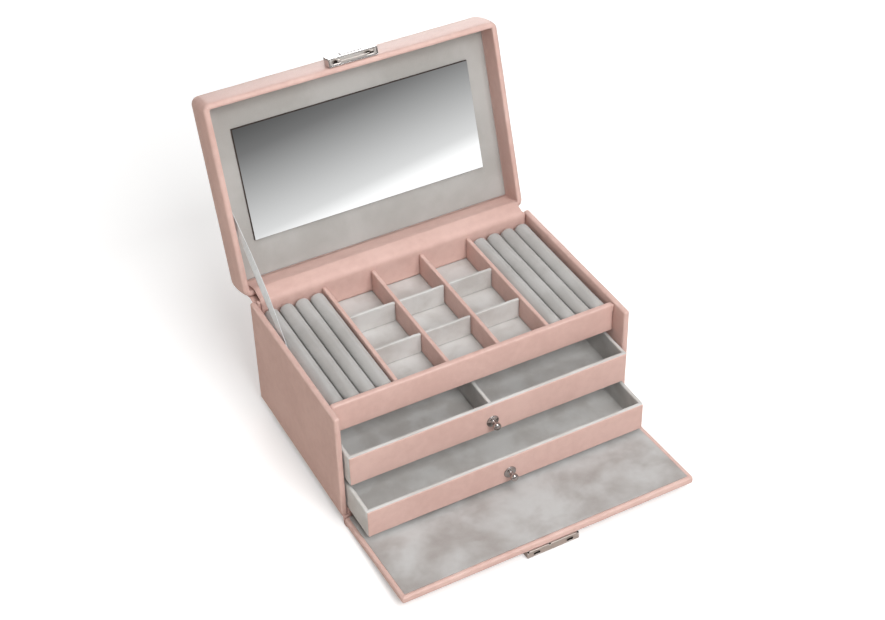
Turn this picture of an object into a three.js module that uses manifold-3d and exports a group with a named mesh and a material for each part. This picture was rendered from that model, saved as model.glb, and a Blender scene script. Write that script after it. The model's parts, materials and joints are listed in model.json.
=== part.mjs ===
// Jewellery chest with a lift-up mirrored lid, a drop-down front flap, two drawers and a
// ring-roll tray. Millimetres, +Z up, the front faces -Y. The chest stands open: lid raised,
// flap down, both drawers pulled out. It is built about the centre of the case's underside and
// placed at the end, so that the origin is on the table under the middle of the open chest.
import * as THREE from "three";
import { mergeVertices } from "three/addons/utils/BufferGeometryUtils.js";
import Module from "manifold-3d";

const wasm = await Module();
wasm.setup();

// Body
const WIDTH = 260;
const DEPTH = 160;
const HEIGHT = 102;
const SIDE_T = 5;
const BACK_T = 4.5;
const BASE_T = 6.8;
const FOOT_H = 7.5;
const FOOT_R = 6;
const FOOT_TOP_R = 5.4;
const FOOT_INSET = 18;
const GAP = 0.3;

// Front rail and tray
const RAIL_SETBACK = 15.5;
const RAIL_T = 5;
const RAIL_TOP = 100.4;
const RAIL_H = 27;
const TRAY_FLOOR_T = 3;
const ROLL_PITCH = 13.6;
const ROLL_GAP = 0.4;
const ROLL_TOP = 98.6;
const ROLLS_PER_SIDE = 4;
const SIDE_GAP = 1.8;
const DIVIDER_T = 3.4;
const DIVIDER_TOP = 98;
const CROSS_T = 2.6;
const CROSS_TOP = 96;
const CELLS = 3;

// Drawers: "out" is how far the open drawer's front stands ahead of the body's front edges
const SHELF_T = 3.2;
const DRAWER_W = 248.4;
const DRAWER_WALL = 3;
const DRAWER_FLOOR_T = 2;
const UPPER = { name: "upper_drawer", z: 38, h: 28.4, out: 8, depth: 136 };
const LOWER = { name: "lower_drawer", z: 7.2, h: 26, out: 35.5, depth: 108 };
const KNOB_DROP = 3.1;
const KNOB_FLANGE_R = 5.4;
const KNOB_FLANGE_T = 0.9;
const KNOB_SHOULDER_R = 4;
const KNOB_SHOULDER = 1.7;
const KNOB_NECK_START = 2.4;
const KNOB_NECK_R = 1.7;
const KNOB_BALL_R = 3.4;
const KNOB_LENGTH = 10.4;

// Lid, in its closed pose about the hinge axis behind the body's top edge
const LID_HINGE_BACK = 3;
const LID_HINGE_DROP = 3.6;
const LID_OPEN_DEG = 106.6;
const LID_RISE = 4;
const LID_LENGTH = 165;
const LID_H = 33.5;
const LID_WALL = 5;
const LID_TOP_T = 4;
const LID_TOP_INSET = 2;
const LINING_T = 3.6;
const LINING_DEPTH = 20.6;
const MIRROR_W = 213;
const MIRROR_FROM = 38.3;
const MIRROR_TO = 134.5;
const MIRROR_T = 2.1;

// Clasp on the lid and strike on the flap
const CLASP_W = 43.6;
const CLASP_REACH = 7.3;
const CLASP_H = 10.8;
const CLASP_WALL = 1.1;
const BUTTON_W = 18;
const BUTTON_H = 5;
const BUTTON_PROUD = 0.7;
const BUTTON_RISE = 0.8;
const HOOK_SPREAD = 14.6;
const HOOK_W = 2.2;
const HOOK_DROP = 3;
const HOOK_T = 1.2;
const HOOK_BAR_LOW = 1;
const HOOK_BAR_TOP = 2.4;
const HOOK_BAR_PLAY = 0.5;
const BARB_REACH = 1.1;
const BARB_T = 0.8;
const SPRING_T = 0.25;
const SPRING_H = 1.2;
const SPRING_LOW = 1.1;
const SPRING_BENDS = 8;
const SPRING_SWING = 0.9;
const STRIKE_W = 45.8;
const STRIKE_OUT = 6.3;
const STRIKE_L = 8;
const STRIKE_WALL = 0.8;
const SLOT_W = 5.5;
const SLOT_T = 2.2;
const SLOT_FROM_FLAP = 4;

// Flap, hinged along the body's bottom front edge
const FLAP_W = 258;
const FLAP_LENGTH = 101.6;
const FLAP_START = 1;
const FLAP_T = 6.4;
const FLAP_LINING_T = 0.8;
const FLAP_BORDER = 3.6;
const FLAP_LINING_START = 1.5;
const FLAP_TILT_DEG = 3.7;
const FLAP_HINGE_OFF = 0.4;

// Soft leather and ribbon
const LEATHER_T = 1;
const INNER_STRIP_W = 244;
const BACK_STRIP_W = 252;
const BACK_STRIP_FROM = 14;
const BACK_STRIP_BEND = 5;
const BACK_STRIP_BULGE = 2.4;
const BACK_STRIP_ON_LID = [2, 10];
const SPINE_TUCK = 8;
const SPINE_INSET = 0.2;
const RIBBON_W = 7;
const RIBBON_T = 0.6;
const RIBBON_ON_LID = [76, 12];
const RIBBON_ON_SIDE = [18, 92];

const rad = THREE.MathUtils.degToRad;
const front = -DEPTH / 2;
const back = DEPTH / 2;
const inside = WIDTH / 2 - SIDE_T;
const innerBack = back - BACK_T;
const railBack = front + RAIL_SETBACK + RAIL_T;
const trayFloorTop = RAIL_TOP - RAIL_H + TRAY_FLOOR_T;

const finish = (color, roughness, metalness = 0) => ({ color, roughness, metalness });
const LEATHER = finish(0xd6aea3, 0.45);
const VELOUR = finish(0xb2aeaa, 0.95);
const CHROME = finish(0xd8dadc, 0.12, 1);
const MIRROR = finish(0xe8eaec, 0.03, 1);
const SATIN = finish(0xc6c8ca, 0.4);
const STEEL = finish(0x9a9ca0, 0.3, 1);

function piece(name, geometry, look, parent) {
  const mesh = new THREE.Mesh(geometry, new THREE.MeshStandardMaterial(look));
  mesh.name = name;
  parent.add(mesh);
  return mesh;
}

// A rectangular board given by its lowest and highest corner.
function boxBetween(lo, hi) {
  const size = hi.map((v, i) => v - lo[i]);
  const g = new THREE.BoxGeometry(...size);
  g.translate(...lo.map((v, i) => v + size[i] / 2));
  return g;
}

const board = (name, lo, hi, look, parent) => piece(name, boxBetween(lo, hi), look, parent);

// A constant section drawn in the Y-Z plane, run along X and centred on x.
function alongX(points, length, x = 0) {
  const shape = new THREE.Shape(points.map(([y, z]) => new THREE.Vector2(y, z)));
  const g = new THREE.ExtrudeGeometry(shape, { depth: length, bevelEnabled: false });
  g.rotateY(Math.PI / 2);
  g.rotateX(Math.PI / 2);
  g.translate(x - length / 2, 0, 0);
  return g;
}

function toManifold(geometry) {
  const g = geometry.clone();
  g.deleteAttribute("normal");
  g.deleteAttribute("uv");
  const merged = mergeVertices(g, 1e-4);
  const vertProperties = new Float32Array(merged.attributes.position.array);
  const triVerts = new Uint32Array(merged.index.array);
  return new wasm.Manifold(new wasm.Mesh({ numProp: 3, vertProperties, triVerts }));
}

function cut(geometry, ...tools) {
  let solid = toManifold(geometry);
  for (const tool of tools) solid = solid.subtract(toManifold(tool));
  return fromManifold(solid);
}

function fuse(geometry, ...others) {
  let solid = toManifold(geometry);
  for (const other of others) solid = solid.add(toManifold(other));
  return fromManifold(solid);
}

function fromManifold(solid) {
  const mesh = solid.getMesh();
  const g = new THREE.BufferGeometry();
  g.setAttribute("position", new THREE.BufferAttribute(mesh.vertProperties, 3));
  g.setIndex(new THREE.BufferAttribute(mesh.triVerts, 1));
  g.computeVertexNormals();
  return g;
}

// A thin strip of even thickness that follows a path of [y, z] points.
function stripSection(path, thickness) {
  const v = path.map(([y, z]) => new THREE.Vector2(y, z));
  const normals = v.map((p, i) => {
    const along = v[Math.min(i + 1, v.length - 1)].clone().sub(v[Math.max(i - 1, 0)]).normalize();
    return new THREE.Vector2(-along.y, along.x);
  });
  const left = v.map((p, i) => p.clone().addScaledVector(normals[i], thickness / 2));
  const right = v.map((p, i) => p.clone().addScaledVector(normals[i], -thickness / 2));
  return [...left, ...right.reverse()].map((p) => [p.x, p.y]);
}

// Leather-covered boards that make the case, and the feet under it.
function buildCase(parent) {
  const x = inside - GAP;
  board("base_board", [-x, front, 0], [x, innerBack - GAP, BASE_T], LEATHER, parent);
  board("left_side_panel", [-WIDTH / 2, front, 0], [-inside, back, HEIGHT], LEATHER, parent);
  board("right_side_panel", [inside, front, 0], [WIDTH / 2, back, HEIGHT], LEATHER, parent);
  board("back_panel", [-x, innerBack, 0], [x, back, HEIGHT], LEATHER, parent);
  const railLow = [-x, front + RAIL_SETBACK, RAIL_TOP - RAIL_H];
  board("front_rail", railLow, [x, railBack, RAIL_TOP], LEATHER, parent);
  const feet = ["foot_front_left", "foot_front_right", "foot_back_left", "foot_back_right"];
  feet.forEach((name, i) => {
    const footX = (WIDTH / 2 - FOOT_INSET) * (i % 2 ? 1 : -1);
    const footY = (DEPTH / 2 - FOOT_INSET) * (i < 2 ? -1 : 1);
    const g = new THREE.CylinderGeometry(FOOT_TOP_R, FOOT_R, FOOT_H - GAP, 24);
    g.rotateX(Math.PI / 2);
    g.translate(footX, footY, -(FOOT_H + GAP) / 2);
    piece(name, g, CHROME, parent);
  });
}

// Shelf between the drawers and the floor of the tray above them.
function buildShelves(parent) {
  const x = inside - GAP;
  const y = innerBack - GAP;
  const railFront = front + RAIL_SETBACK;
  const shelfZ = UPPER.z - GAP - SHELF_T;
  board("drawer_shelf", [-x, railFront, shelfZ], [x, y, shelfZ + SHELF_T], VELOUR, parent);
  const floorZ = trayFloorTop - TRAY_FLOOR_T;
  board("tray_floor", [-x, railBack + GAP, floorZ], [x, y, trayFloorTop], VELOUR, parent);
}

// The tray: four ring rolls on each side of a grid of square cells.
function buildTray(parent) {
  const y0 = railBack + GAP;
  const y1 = innerBack - 2 * GAP - LEATHER_T;
  const z0 = trayFloorTop + GAP;
  const grid = inside - SIDE_GAP - ROLLS_PER_SIDE * ROLL_PITCH;
  const pitch = (2 * grid - DIVIDER_T) / CELLS;
  const dividerX = [...Array(CELLS + 1).keys()].map((i) => -grid + DIVIDER_T / 2 + i * pitch);
  dividerX.forEach((x, i) => {
    const lo = [x - DIVIDER_T / 2, y0, z0];
    board(`divider_${i + 1}`, lo, [x + DIVIDER_T / 2, y1, DIVIDER_TOP], LEATHER, parent);
  });
  const row = (y1 - y0 - (CELLS - 1) * CROSS_T) / CELLS;
  for (let r = 1; r < CELLS; r++) {
    const y = y0 + r * row + (r - 1) * CROSS_T;
    for (let c = 0; c < CELLS; c++) {
      const x = dividerX[c] + DIVIDER_T / 2 + GAP;
      const name = `cross_divider_${(r - 1) * CELLS + c + 1}`;
      const hi = [dividerX[c + 1] - DIVIDER_T / 2 - GAP, y + CROSS_T, CROSS_TOP];
      board(name, [x, y, z0], hi, VELOUR, parent);
    }
  }
  for (const [side, s] of [["left", -1], ["right", 1]]) {
    for (let i = 0; i < ROLLS_PER_SIDE; i++) {
      const x = s * (grid + ROLL_PITCH * (i + 0.5));
      piece(`ring_roll_${side}_${i + 1}`, ringRoll(x, y0 + GAP, y1 - GAP, z0), VELOUR, parent);
    }
  }
}

// A foam ring roll: straight sides with a half-round top, running front to back.
function ringRoll(x, y0, y1, z0) {
  const r = (ROLL_PITCH - ROLL_GAP) / 2;
  const s = new THREE.Shape();
  s.moveTo(-r, z0);
  s.lineTo(r, z0);
  s.lineTo(r, ROLL_TOP - r);
  s.absarc(0, ROLL_TOP - r, r, 0, Math.PI, false);
  s.lineTo(-r, z0);
  const g = new THREE.ExtrudeGeometry(s, { depth: y1 - y0, bevelEnabled: false, curveSegments: 12 });
  g.rotateX(Math.PI / 2);
  g.translate(x, y1, 0);
  return g;
}

// A drawer box of five boards with its knob.
function buildDrawer(d, parent) {
  const w = DRAWER_W / 2;
  const y0 = front - d.out;
  const y1 = y0 + d.depth;
  const z1 = d.z + d.h;
  const t = DRAWER_WALL;
  const part = (suffix, lo, hi) => board(`${d.name}_${suffix}`, lo, hi, VELOUR, parent);
  part("front", [-w, y0, d.z], [w, y0 + t, z1]);
  part("back", [-w, y1 - t, d.z], [w, y1, z1]);
  part("left_wall", [-w, y0 + t + GAP, d.z], [-w + t, y1 - t - GAP, z1]);
  part("right_wall", [w - t, y0 + t + GAP, d.z], [w, y1 - t - GAP, z1]);
  const in0 = [-w + t + GAP, y0 + t + GAP, d.z];
  const in1 = [w - t - GAP, y1 - t - GAP, d.z + DRAWER_FLOOR_T];
  part("floor", in0, in1);
  piece(`${d.name}_knob`, knob(y0, d.z + d.h / 2 - KNOB_DROP), CHROME, parent);
}

// A turned knob: a flat flange on the drawer front, a slim neck and a ball end.
function knob(y, z) {
  const profile = [
    [0, GAP],
    [KNOB_FLANGE_R, GAP],
    [KNOB_FLANGE_R, KNOB_FLANGE_T],
    [KNOB_SHOULDER_R, KNOB_SHOULDER],
    [KNOB_NECK_R, KNOB_NECK_START],
  ];
  const centre = KNOB_LENGTH - KNOB_BALL_R;
  const from = Math.asin(KNOB_NECK_R / KNOB_BALL_R);
  const steps = 8;
  for (let i = 0; i < steps; i++) {
    const a = from + ((Math.PI - from) * i) / steps;
    profile.push([KNOB_BALL_R * Math.sin(a), centre - KNOB_BALL_R * Math.cos(a)]);
  }
  profile.push([0, KNOB_LENGTH]);
  const g = new THREE.LatheGeometry(profile.map(([r, h]) => new THREE.Vector2(r, h)), 20);
  g.rotateX(Math.PI);
  g.translate(0, y, z);
  return g;
}

// Short board across the middle of the upper drawer.
function buildDrawerDivider(d, parent) {
  const y0 = front - d.out + DRAWER_WALL + 2 * GAP;
  const y1 = front - d.out + d.depth - DRAWER_WALL - 2 * GAP;
  const x = DRAWER_WALL / 2;
  const lo = [-x, y0, d.z + DRAWER_FLOOR_T + GAP];
  board(`${d.name}_divider`, lo, [x, y1, d.z + d.h - 1], VELOUR, parent);
}

// The lid is built shut, then its group turns it open about the hinge. In the group the
// origin is the hinge axis; a is the distance forward of the lid's back, h the height above
// the lid's mouth.
const lidY = (a) => -LID_HINGE_BACK - a;
const lidZ = (h) => LID_RISE + h;

function lidBoard(name, x0, x1, a0, a1, h0, h1, look, parent) {
  return board(name, [x0, lidY(a1), lidZ(h0)], [x1, lidY(a0), lidZ(h1)], look, parent);
}

function buildLid(parent) {
  const w = WIDTH / 2;
  const t = LID_WALL;
  const wallTop = LID_H - LID_TOP_T - GAP;
  const i = LID_TOP_INSET;
  const top = [i, LID_LENGTH - i, LID_H - LID_TOP_T, LID_H];
  lidBoard("lid_top_board", -w + i, w - i, ...top, LEATHER, parent);
  lidBoard("lid_front_wall", -w, w, LID_LENGTH - t, LID_LENGTH, 0, wallTop, LEATHER, parent);
  lidBoard("lid_back_wall", -w, w, 0, t, 0, wallTop, LEATHER, parent);
  const side = [t + GAP, LID_LENGTH - t - GAP, 0, wallTop];
  lidBoard("lid_left_wall", -w, -w + t, ...side, LEATHER, parent);
  lidBoard("lid_right_wall", w - t, w, ...side, LEATHER, parent);
  const lx = w - t - GAP;
  const a0 = t + 2 * GAP + LEATHER_T;
  const a1 = LID_LENGTH - t - GAP;
  lidBoard("lid_lining", -lx, lx, a0, a1, LINING_DEPTH, LINING_DEPTH + LINING_T, VELOUR, parent);
  const glass = [MIRROR_FROM, MIRROR_TO, LINING_DEPTH - GAP - MIRROR_T, LINING_DEPTH - GAP];
  lidBoard("mirror", -MIRROR_W / 2, MIRROR_W / 2, ...glass, MIRROR, parent);
}

// The clasp is an open-bottomed metal case on the lid's front wall. A push button in its
// face slides a hook bar sideways against a leaf spring.
function buildClasp(parent) {
  const w = CLASP_W / 2;
  const a0 = LID_LENGTH + GAP;
  const a1 = a0 + CLASP_REACH;
  const c = CLASP_WALL;
  const shell = boxBetween([-w, lidY(a1), lidZ(GAP)], [w, lidY(a0), lidZ(CLASP_H)]);
  const hollowLo = [-w + c, lidY(a1 - c), lidZ(-1)];
  const hollow = boxBetween(hollowLo, [w - c, lidY(a0 + c), lidZ(CLASP_H - c)]);
  const b = BUTTON_W / 2;
  const buttonZ = CLASP_H / 2 + BUTTON_RISE;
  const holeLo = [-b - GAP, lidY(a1 + 1), lidZ(buttonZ - BUTTON_H / 2 - GAP)];
  const holeHi = [b + GAP, lidY(a1 - 2 * c), lidZ(buttonZ + BUTTON_H / 2 + GAP)];
  piece("clasp_housing", cut(shell, hollow, boxBetween(holeLo, holeHi)), CHROME, parent);
  const pushLo = [-b, lidY(a1 + BUTTON_PROUD), lidZ(buttonZ - BUTTON_H / 2)];
  const pushHi = [b, lidY(a1 - c - 1), lidZ(buttonZ + BUTTON_H / 2)];
  piece("release_button", boxBetween(pushLo, pushHi), CHROME, parent);
  buildHookBar(parent, a0 + c + HOOK_BAR_PLAY, a1 - c - HOOK_BAR_PLAY);
  buildSpring(parent, w - c, (a0 + a1) / 2);
}

// Two hooks hang from one bar. Each hook's barb reaches sideways past its slot's edge.
function buildHookBar(parent, a0, a1) {
  const reach = HOOK_SPREAD + HOOK_W;
  const slotA = DEPTH + FLAP_HINGE_OFF + FLAP_T + SLOT_FROM_FLAP;
  const half = HOOK_T / 2;
  const low = -HOOK_DROP;
  const hookPart = (x0, x1, h0, h1) =>
    boxBetween([x0, lidY(slotA + half), lidZ(h0)], [x1, lidY(slotA - half), lidZ(h1)]);
  const barLo = [-reach, lidY(a1), lidZ(HOOK_BAR_LOW)];
  const bar = boxBetween(barLo, [reach, lidY(a0), lidZ(HOOK_BAR_TOP)]);
  const hooks = [-1, 1].flatMap((side) => {
    const x = side * HOOK_SPREAD + SLOT_W / 2 - GAP - HOOK_W;
    const stem = hookPart(x, x + HOOK_W, low, (HOOK_BAR_LOW + HOOK_BAR_TOP) / 2);
    const barb = hookPart(x, x + HOOK_W + BARB_REACH, low, low + BARB_T);
    return [stem, barb];
  });
  piece("hook_bar", fuse(bar, ...hooks), STEEL, parent);
}

// A wavy leaf spring between the hook bar's left end and the case.
function buildSpring(parent, xEnd, a) {
  const start = HOOK_SPREAD + HOOK_W + GAP;
  const step = (xEnd - GAP - start) / SPRING_BENDS;
  const wave = [...Array(SPRING_BENDS + 1).keys()].map((i) => [
    -start - i * step,
    i % 2 ? SPRING_SWING : -SPRING_SWING,
  ]);
  const outline = stripSection(wave, SPRING_T).map(([u, v]) => new THREE.Vector2(u, v));
  const settings = { depth: SPRING_H, bevelEnabled: false };
  const g = new THREE.ExtrudeGeometry(new THREE.Shape(outline), settings);
  g.translate(0, lidY(a), lidZ(SPRING_LOW));
  piece("hook_spring", g, STEEL, parent);
}

// The flap is built lying flat in front of its hinge: u runs forward, v up from its inner face.
function buildFlap(parent) {
  const w = FLAP_W / 2;
  const plate = (name, x, u0, u1, v0, v1, look) =>
    board(name, [-x, -u1, v0], [x, -u0, v1], look, parent);
  plate("flap_board", w, FLAP_START, FLAP_LENGTH, -FLAP_T, -FLAP_LINING_T - GAP, LEATHER);
  const b = FLAP_BORDER;
  plate("flap_lining", w - b, FLAP_LINING_START, FLAP_LENGTH - b, -FLAP_LINING_T, 0, VELOUR);
  const s = STRIKE_W / 2;
  const u1 = FLAP_LENGTH + GAP;
  const u0 = u1 - STRIKE_L;
  const top = -FLAP_T - GAP;
  const low = top - STRIKE_OUT;
  const c = STRIKE_WALL;
  const case_ = boxBetween([-s, -u1, low], [s, -u0, top]);
  const hollow = boxBetween([-s + c, -u1 + c, low + c], [s - c, -u0 + c + 2, top - c]);
  const slotV = -FLAP_T - SLOT_FROM_FLAP;
  const slots = [-1, 1].map((k) =>
    boxBetween(
      [k * HOOK_SPREAD - SLOT_W / 2, -u1 - 1, slotV - SLOT_T / 2],
      [k * HOOK_SPREAD + SLOT_W / 2, -u1 + 2 * c, slotV + SLOT_T / 2]
    )
  );
  piece("strike_plate", cut(case_, hollow, ...slots), CHROME, parent);
}

// Places a point of the open lid in the body's frame.
function onOpenLid(a, h) {
  const p = new THREE.Vector2(lidY(a), lidZ(h));
  p.rotateAround(new THREE.Vector2(0, 0), -rad(LID_OPEN_DEG));
  return [back + LID_HINGE_BACK + p.x, HEIGHT - LID_HINGE_DROP + p.y];
}

// Soft pieces that bend with the lid and the flap.
function buildSoftPieces(parent) {
  const half = LEATHER_T / 2 + GAP;
  const y = innerBack - half;
  const w = LID_WALL;
  const lining = [
    [y, trayFloorTop + GAP],
    [y, HEIGHT + half],
    [back, HEIGHT + half],
    onOpenLid(1, -half),
    onOpenLid(w + half, -half),
    onOpenLid(w + half, LINING_DEPTH + LINING_T - 1),
  ];
  const inner = alongX(stripSection(lining, LEATHER_T), INNER_STRIP_W);
  piece("inner_hinge_strip", inner, LEATHER, parent);

  const outside = back + half;
  const behind = [
    [outside, HEIGHT - BACK_STRIP_FROM],
    [outside, HEIGHT - BACK_STRIP_BEND],
    [outside + BACK_STRIP_BULGE, HEIGHT - BACK_STRIP_BEND + LEATHER_T / 2],
    ...BACK_STRIP_ON_LID.map((h) => onOpenLid(-half, h)),
  ];
  piece("back_hinge_strip", alongX(stripSection(behind, LEATHER_T), BACK_STRIP_W), LEATHER, parent);

  const edge = front + SPINE_INSET;
  const spine = [
    [front + SPINE_TUCK, -half],
    [edge + LEATHER_T / 2, -half],
    [edge, -half - LEATHER_T],
    [edge, -FOOT_H + half],
  ];
  piece("flap_hinge_strip", alongX(stripSection(spine, LEATHER_T), FLAP_W), LEATHER, parent);

  const x = -inside + GAP + RIBBON_T / 2;
  const section = stripSection([RIBBON_ON_SIDE, onOpenLid(...RIBBON_ON_LID)], RIBBON_W);
  piece("ribbon_stay", alongX(section, RIBBON_T, x), SATIN, parent);
}

const chest = new THREE.Group();
buildCase(chest);
buildShelves(chest);
buildTray(chest);
for (const d of [UPPER, LOWER]) buildDrawer(d, chest);
buildDrawerDivider(UPPER, chest);

const lid = new THREE.Group();
lid.position.set(0, back + LID_HINGE_BACK, HEIGHT - LID_HINGE_DROP);
lid.rotation.x = -rad(LID_OPEN_DEG);
buildLid(lid);
buildClasp(lid);
chest.add(lid);

const flap = new THREE.Group();
flap.position.set(0, front - FLAP_HINGE_OFF, -FLAP_HINGE_OFF);
flap.rotation.x = -rad(FLAP_TILT_DEG);
buildFlap(flap);
chest.add(flap);

buildSoftPieces(chest);

const bounds = new THREE.Box3().setFromObject(chest);
chest.position.set(0, -(bounds.min.y + bounds.max.y) / 2, FOOT_H);

export default chest;
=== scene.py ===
"""Jewellery chest with a mirrored lid, ring-roll tray, two drawers and a drop-down flap."""
import json
import math

import bpy
import numpy as np
from mathutils import Matrix, Quaternion, Vector, noise


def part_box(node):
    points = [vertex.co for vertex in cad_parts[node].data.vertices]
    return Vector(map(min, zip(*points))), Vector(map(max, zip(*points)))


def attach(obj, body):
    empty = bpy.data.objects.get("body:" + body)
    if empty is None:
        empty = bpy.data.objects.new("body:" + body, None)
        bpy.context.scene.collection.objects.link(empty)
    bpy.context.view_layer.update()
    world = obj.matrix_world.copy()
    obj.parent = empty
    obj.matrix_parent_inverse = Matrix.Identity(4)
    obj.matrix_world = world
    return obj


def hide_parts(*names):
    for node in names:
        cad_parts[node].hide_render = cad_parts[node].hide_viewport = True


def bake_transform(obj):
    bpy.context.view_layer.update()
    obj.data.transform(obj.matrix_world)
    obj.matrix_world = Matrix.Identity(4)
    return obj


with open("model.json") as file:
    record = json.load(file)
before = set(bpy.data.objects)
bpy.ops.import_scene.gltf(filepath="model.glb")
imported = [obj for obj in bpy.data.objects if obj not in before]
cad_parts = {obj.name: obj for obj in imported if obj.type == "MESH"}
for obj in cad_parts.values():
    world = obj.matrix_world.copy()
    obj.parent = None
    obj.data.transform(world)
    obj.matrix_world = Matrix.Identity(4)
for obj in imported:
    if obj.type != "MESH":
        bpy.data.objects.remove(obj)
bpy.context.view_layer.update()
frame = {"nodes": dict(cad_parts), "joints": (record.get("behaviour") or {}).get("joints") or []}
MM = 0.001

# ---------------------------------------------------------------------------------------------
# Case boards: greyboard wrapped in pink faux leather, edges turned in by hand and glued, so
# the corners are soft and the faces wander a little. The base closes the bottom.
# ---------------------------------------------------------------------------------------------


def srgb(r, g, b):
    """A colour picked on a 0 to 255 chart, as the linear colour that shaders take."""
    def channel(v):
        v /= 255
        return v / 12.92 if v <= 0.04045 else ((v + 0.055) / 1.055) ** 2.4

    return channel(r), channel(g), channel(b), 1.0


def set_inputs(node, values):
    """Sets a shader node's named inputs."""
    for key, value in values.items():
        node.inputs[key].default_value = value


def add_node(tree, kind, values=None, **settings):
    """A shader node with its settings, and the values of its named inputs."""
    node = tree.nodes.new(kind)
    for key, value in settings.items():
        setattr(node, key, value)
    set_inputs(node, values or {})
    return node


def blank_material(name):
    """A new material, its node tree and the Principled shader in it."""
    made = bpy.data.materials.new(name)
    made.use_nodes = True
    return made, made.node_tree, made.node_tree.nodes["Principled BSDF"]


def new_group(name, inputs, outputs):
    """An empty shader node group. inputs maps a name to (socket type, default)."""
    tree = bpy.data.node_groups.new(name, "ShaderNodeTree")
    for key, (kind, default) in inputs.items():
        socket = tree.interface.new_socket(key, in_out="INPUT", socket_type=kind)
        if default is not None:
            socket.default_value = default
    for key, kind in outputs.items():
        tree.interface.new_socket(key, in_out="OUTPUT", socket_type=kind)
    return tree, tree.nodes.new("NodeGroupInput"), tree.nodes.new("NodeGroupOutput")


def smooth_step(tree, source, low, high):
    """The source value eased from 0 at low to 1 at high."""
    ends = {"From Min": low, "From Max": high}
    node = add_node(tree, "ShaderNodeMapRange", ends, interpolation_type="SMOOTHSTEP")
    tree.links.new(source, node.inputs["Value"])
    return node.outputs["Result"]


def combine(tree, operation, *values):
    """A math node over sockets or numbers."""
    node = add_node(tree, "ShaderNodeMath", operation=operation)
    for slot, value in zip(node.inputs, values):
        if isinstance(value, (int, float)):
            slot.default_value = value
        else:
            tree.links.new(value, slot)
    return node.outputs[0]


def noise_at(tree, vector, scale, detail=2.0, distortion=0.0, rough=0.5):
    """A noise texture's value over a position in metres."""
    values = {"Scale": scale, "Detail": detail, "Distortion": distortion, "Roughness": rough}
    node = add_node(tree, "ShaderNodeTexNoise", values)
    tree.links.new(vector, node.inputs["Vector"])
    return node.outputs["Fac"]


def leather_grain():
    """Printed leather grain: pebbles, hair-fine pores and broad handling waves."""
    sockets = {"Position": ("NodeSocketVector", None), "Pebbles per metre": ("NodeSocketFloat", 1500)}
    results = {"Height": "NodeSocketFloat", "Tone": "NodeSocketFloat", "Crease": "NodeSocketFloat"}
    tree, given, out = new_group("Leather grain", sockets, results)
    place = given.outputs["Position"]
    warp = add_node(tree, "ShaderNodeTexNoise", {"Scale": 900.0, "Detail": 2.0})
    tree.links.new(place, warp.inputs["Vector"])
    shift = add_node(tree, "ShaderNodeVectorMath", operation="MULTIPLY_ADD")
    shift.inputs[1].default_value = (0.0007, 0.0007, 0.0007)
    tree.links.new(warp.outputs["Color"], shift.inputs[0])
    tree.links.new(place, shift.inputs[2])
    cells = add_node(tree, "ShaderNodeTexVoronoi", feature="DISTANCE_TO_EDGE")
    tree.links.new(shift.outputs[0], cells.inputs["Vector"])
    tree.links.new(given.outputs["Pebbles per metre"], cells.inputs["Scale"])
    pebble = smooth_step(tree, cells.outputs["Distance"], 0.0, 0.22)
    pores = noise_at(tree, place, 5200.0, detail=1.0)
    swell = noise_at(tree, place, 420.0, detail=2.0)
    height = combine(tree, "MULTIPLY", pebble, 0.62)
    height = combine(tree, "ADD", height, combine(tree, "MULTIPLY", pores, 0.25))
    height = combine(tree, "ADD", height, combine(tree, "MULTIPLY", swell, 0.9))
    broad = noise_at(tree, place, 14.0, detail=3.0, distortion=0.6)
    fine = noise_at(tree, place, 160.0, detail=3.0)
    tone = combine(tree, "ADD", combine(tree, "MULTIPLY", broad, 0.62),
                   combine(tree, "MULTIPLY", fine, 0.38))
    tree.links.new(height, out.inputs["Height"])
    tree.links.new(tone, out.inputs["Tone"])
    tree.links.new(combine(tree, "SUBTRACT", 1.0, pebble), out.inputs["Crease"])
    return tree


def mask_for_wear_and_highlight():
    """The piece's own edge measure broken up by noise: edge wear, and on leather also a painted
    highlight.
    """
    sockets = {"Position": ("NodeSocketVector", None), "Edge": ("NodeSocketFloat", 0.0)}
    tree, given, out = new_group("Edge wear and painted highlight", sockets, {"Mask": "NodeSocketFloat"})
    patches = smooth_step(tree, noise_at(tree, given.outputs["Position"], 70.0, detail=4.0), 0.3, 0.72)
    mask = combine(tree, "MULTIPLY", given.outputs["Edge"], patches)
    tree.links.new(mask, out.inputs["Mask"])
    return tree


def use_group(tree, group):
    """The group as a node, fed with the surface's own position."""
    node = add_node(tree, "ShaderNodeGroup", node_tree=group)
    place = add_node(tree, "ShaderNodeTexCoord")
    tree.links.new(place.outputs["Object"], node.inputs["Position"])
    return node


def mix_colours(tree, factor, first, second):
    """A colour between two colours or sockets."""
    node = add_node(tree, "ShaderNodeMix", data_type="RGBA")
    sockets = [s for s in node.inputs if s.enabled and s.type == "RGBA"]
    for socket, value in zip(sockets, (first, second)):
        if isinstance(value, tuple):
            socket.default_value = value
        else:
            tree.links.new(value, socket)
    tree.links.new(factor, node.inputs["Factor"])
    return next(s for s in node.outputs if s.enabled and s.type == "RGBA")


GRAIN = leather_grain()
WEAR_HIGHLIGHT_GROUP = mask_for_wear_and_highlight()


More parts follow.
